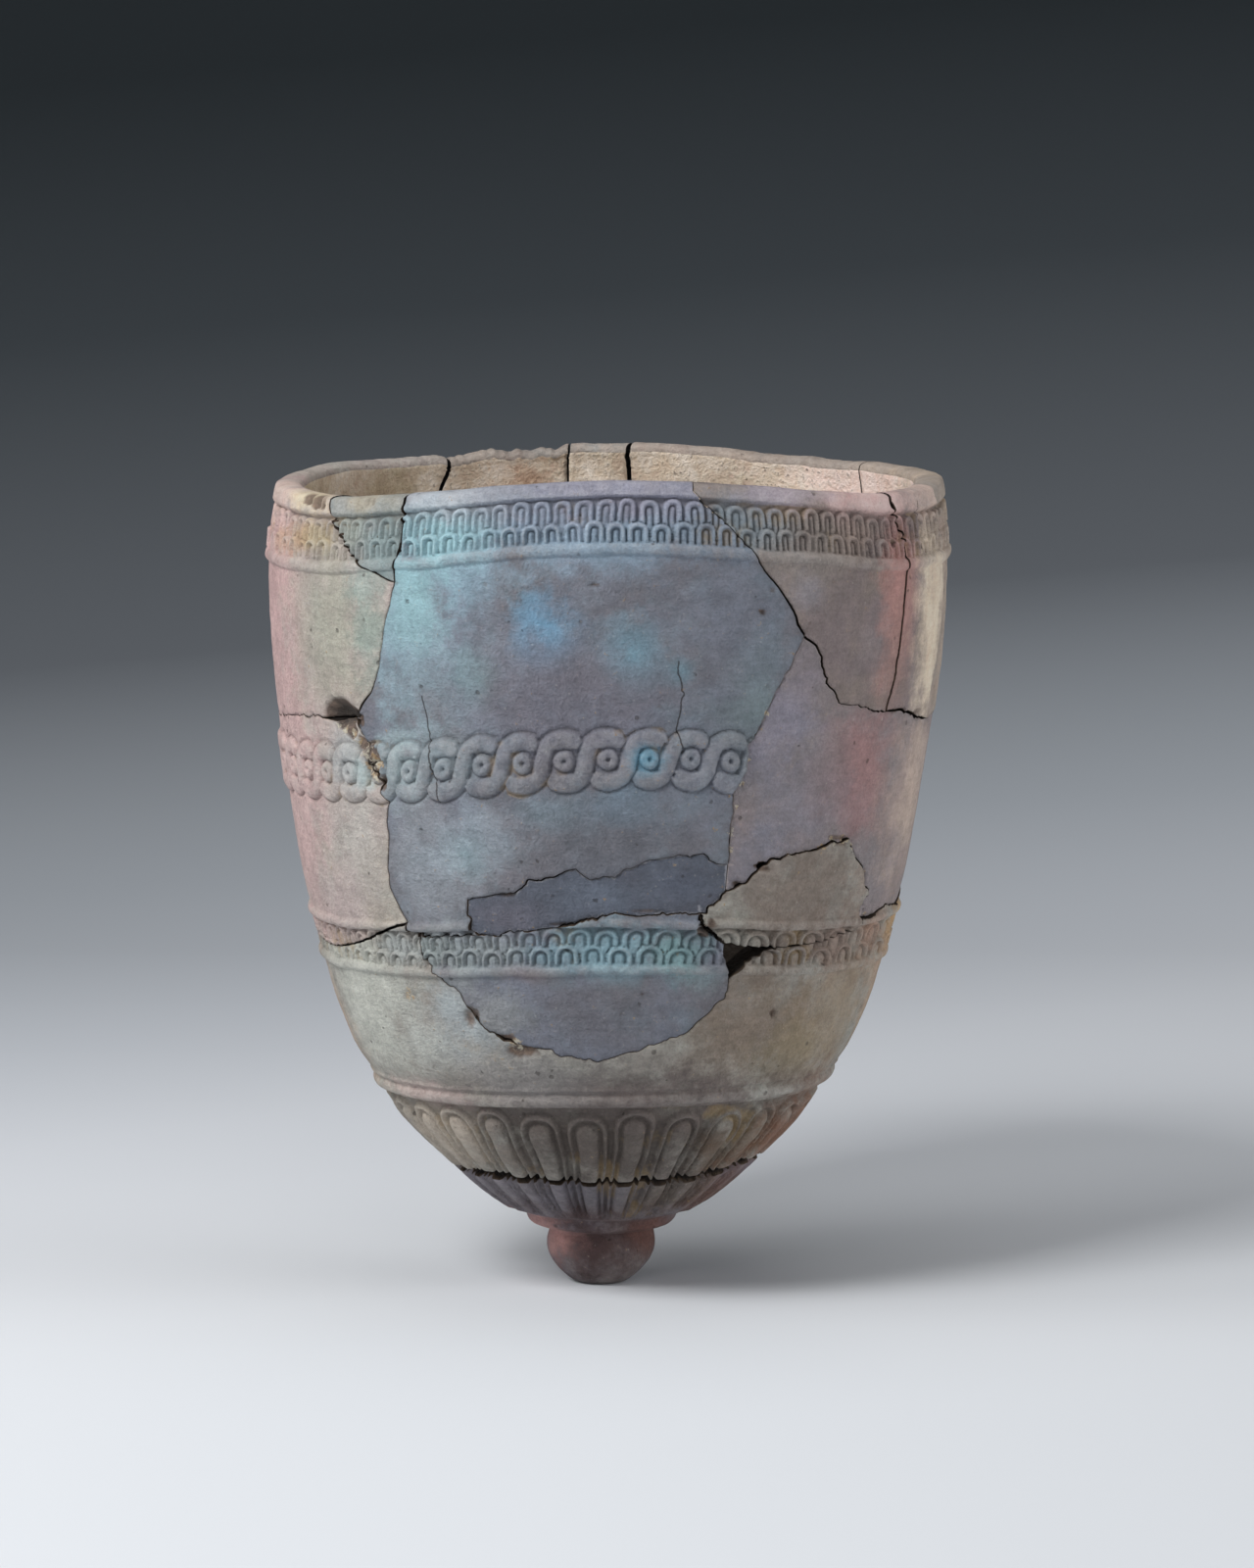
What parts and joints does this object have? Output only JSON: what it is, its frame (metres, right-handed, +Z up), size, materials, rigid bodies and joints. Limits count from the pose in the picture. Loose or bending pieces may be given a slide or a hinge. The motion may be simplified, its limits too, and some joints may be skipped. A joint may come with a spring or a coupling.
{
  "type": "decorated beaker",
  "caption": "Tall open beaker on a small knob foot, with carved scale bands, a guilloche and tongues, rejoined from sherds with smooth fills.",
  "frame": {"origin": "centre of the worn flat under the knob foot", "axes": "+Z up along the vessel's axis; the front, with the large blue-grey sherd, faces -Y"},
  "size_m": [0.1528, 0.1528, 0.1844],
  "materials": {
    "front_sherd": "matte",
    "rim_wedge_sherd": "matte",
    "left_sherds": "matte",
    "right_sherds": "matte",
    "back_sherds": "matte",
    "lower_sherds": "matte",
    "base_sherd": "matte",
    "front_fill": "matte",
    "right_fill": "matte"
  },
  "bodies": {
    "root": {"front_sherd": "front_sherd", "rim_wedge_sherd": "rim_wedge_sherd", "upper_left_sherd": "left_sherds", "middle_left_sherd": "left_sherds", "upper_right_sherd": "right_sherds", "rim_right_sherd": "right_sherds", "far_right_sherd": "back_sherds", "back_right_rim_sherd": "back_sherds", "back_narrow_rim_sherd": "back_sherds", "back_chipped_rim_sherd": "back_sherds", "back_middle_left_sherd": "back_sherds", "back_middle_right_sherd": "back_sherds", "triangular_sherd": "lower_sherds", "lower_front_sherd": "front_sherd", "lower_bowl_sherd": "lower_sherds", "lower_back_sherd": "lower_sherds", "base_sherd": "base_sherd", "front_fill": "front_fill", "right_fill": "right_fill"}
  },
  "joints": []
}
